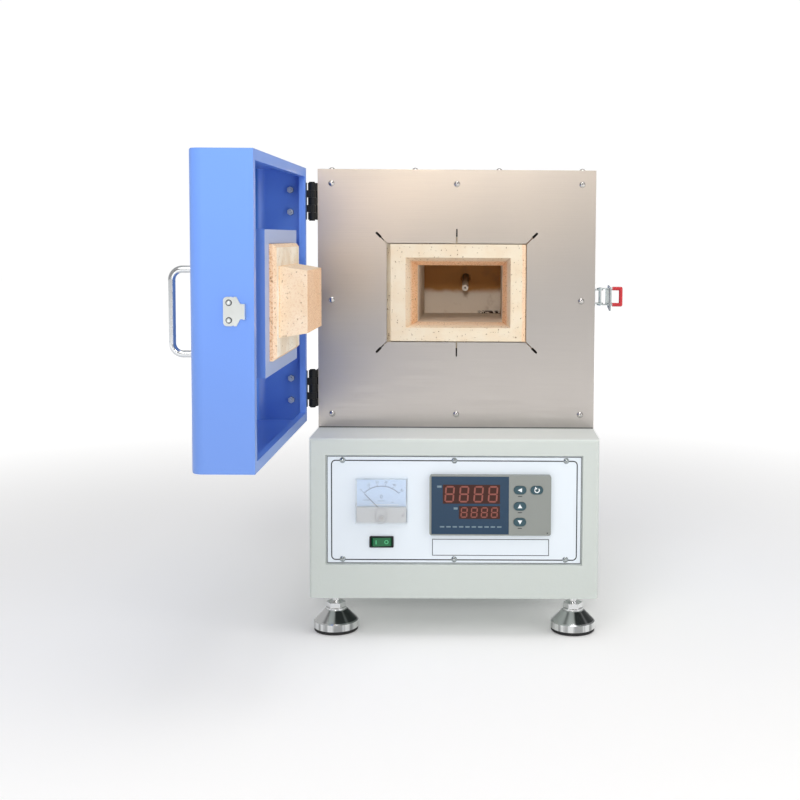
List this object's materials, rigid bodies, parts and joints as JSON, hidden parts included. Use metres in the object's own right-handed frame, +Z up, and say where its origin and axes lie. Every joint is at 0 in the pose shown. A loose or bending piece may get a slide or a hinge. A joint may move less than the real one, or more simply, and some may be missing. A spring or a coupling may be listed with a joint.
{
  "type": "muffle furnace",
  "caption": "Bench muffle furnace on levelling feet, with a plug door open on side hinges, toggle latch, tapered brick mouth and a control panel below.",
  "frame": {"origin": "on the bench, on the centre line of the cabinet, straight below the face of the front plate", "axes": "+X to the right of someone facing the furnace, +Y from the front plate to the back, +Z up"},
  "size_m": [0.5445, 0.821, 0.628],
  "materials": {
    "blue_shell": "satin",
    "blue_holder": "satin",
    "stainless": "satin",
    "screws": "polished",
    "fibre": "matte",
    "firebrick": "matte",
    "muffle_ceramic": "matte",
    "resistance_alloy": "matte",
    "white_ceramic": "satin",
    "black_plastic": "matte",
    "hammered_paint": "satin",
    "white_panel": "satin",
    "controller_grey": "satin",
    "display": "gloss",
    "key_teal": "satin",
    "meter_shell": "satin",
    "dial_blue": "matte",
    "meter_mask": "satin",
    "needle": "matte",
    "clear_cover": "gloss",
    "green_lens": "gloss",
    "heat_sink": "satin",
    "polished_steel": "polished",
    "sole_rubber": "matte",
    "handle_chrome": "polished",
    "zinc": "satin",
    "hinge_black": "satin",
    "grip_red": "gloss"
  },
  "bodies": {
    "cabinet": {"upper_shell": "blue_shell", "top_cover": "blue_shell", "rear_cover": "blue_shell", "front_plate": "stainless", "front_plate_screws": "screws", "cabinet_screws": "screws", "panel_screws": "screws", "foot_nuts": "screws", "insulation_front": "fibre", "insulation_tray": "fibre", "insulation_lid": "fibre", "insulation_rear": "fibre", "mouth_brick": "firebrick", "muffle": "muffle_ceramic", "heating_ribbon": "resistance_alloy", "terminal_bushings": "white_ceramic", "thermocouple_sheath": "white_ceramic", "thermocouple_head": "black_plastic", "switch_bezel": "black_plastic", "cable_gland": "black_plastic", "terminal_strip": "black_plastic", "control_case": "hammered_paint", "base_pan": "hammered_paint", "control_panel": "white_panel", "controller_body": "controller_grey", "controller_window": "display", "meter_case": "meter_shell", "meter_dial": "dial_blue", "meter_mask": "meter_mask", "meter_window": "clear_cover", "power_relay": "heat_sink", "latch_base": "zinc", "body_leaf_upper": "hinge_black", "body_leaf_lower": "hinge_black"},
    "door": {"door_pan": "blue_shell", "plug_holder": "blue_holder", "door_brick": "firebrick", "door_handle": "handle_chrome", "keeper_plate": "zinc", "door_bolts": "screws", "door_leaf_upper": "hinge_black", "door_leaf_lower": "hinge_black"},
    "lever": {"latch_lever": "zinc", "latch_grip": "grip_red"},
    "bail": {"latch_bail": "zinc"},
    "back_key": {"key_back": "key_teal"},
    "loop_key": {"key_loop": "key_teal"},
    "up_key": {"key_up": "key_teal"},
    "down_key": {"key_down": "key_teal"},
    "needle": {"meter_needle": "needle"},
    "rocker": {"switch_rocker": "green_lens"},
    "front_left_foot": {"foot_front_left": "polished_steel", "pad_front_left": "sole_rubber"},
    "front_right_foot": {"foot_front_right": "polished_steel", "pad_front_right": "sole_rubber"},
    "rear_left_foot": {"foot_rear_left": "polished_steel", "pad_rear_left": "sole_rubber"},
    "rear_right_foot": {"foot_rear_right": "polished_steel", "pad_rear_right": "sole_rubber"}
  },
  "joints": [
    {"name": "door_hinge", "type": "hinge", "parent": "cabinet", "child": "door", "pos_m": [-0.198, -0.005, 0.456], "axis": [0, 0, 1], "range_deg": [-90, 90]},
    {"name": "lever_pivot", "type": "hinge", "parent": "cabinet", "child": "lever", "pos_m": [0.201, 0.033, 0.4505], "axis": [0, 0, 1], "range_deg": [-45, 90]},
    {"name": "bail_pivot", "type": "hinge", "parent": "lever", "child": "bail", "pos_m": [0.213, 0.033, 0.4505], "axis": [0, 0, 1], "range_deg": [-90, 45]},
    {"name": "back_key_travel", "type": "slide", "parent": "cabinet", "child": "back_key", "axis": [0, 1, 0], "range_m": [0, 0.0006], "stiffness_N_per_m": 2000, "springref_m": -0.0003},
    {"name": "loop_key_travel", "type": "slide", "parent": "cabinet", "child": "loop_key", "axis": [0, 1, 0], "range_m": [0, 0.0006], "stiffness_N_per_m": 2000, "springref_m": -0.0003},
    {"name": "up_key_travel", "type": "slide", "parent": "cabinet", "child": "up_key", "axis": [0, 1, 0], "range_m": [0, 0.0006], "stiffness_N_per_m": 2000, "springref_m": -0.0003},
    {"name": "down_key_travel", "type": "slide", "parent": "cabinet", "child": "down_key", "axis": [0, 1, 0], "range_m": [0, 0.0006], "stiffness_N_per_m": 2000, "springref_m": -0.0003},
    {"name": "needle_swing", "type": "hinge", "parent": "cabinet", "child": "needle", "pos_m": [-0.0958, -0.0965, 0.1734], "axis": [0, 1, 0], "range_deg": [0, 90], "stiffness_Nm_per_rad": 0.0003, "springref_deg": -28.65},
    {"name": "rocker_tilt", "type": "hinge", "parent": "cabinet", "child": "rocker", "pos_m": [-0.096, -0.0855, 0.1303], "axis": [0, 0, 1], "range_deg": [-16, 0]},
    {"name": "front_left_level", "type": "slide", "parent": "cabinet", "child": "front_left_foot", "axis": [0, 0, 1], "range_m": [-0.01, 0.012]},
    {"name": "front_right_level", "type": "slide", "parent": "cabinet", "child": "front_right_foot", "axis": [0, 0, 1], "range_m": [-0.01, 0.012]},
    {"name": "rear_left_level", "type": "slide", "parent": "cabinet", "child": "rear_left_foot", "axis": [0, 0, 1], "range_m": [-0.01, 0.012]},
    {"name": "rear_right_level", "type": "slide", "parent": "cabinet", "child": "rear_right_foot", "axis": [0, 0, 1], "range_m": [-0.01, 0.012]}
  ],
  "couplings": [
    {"joint": "bail_pivot", "follows": "lever_pivot", "ratio": -1}
  ]
}
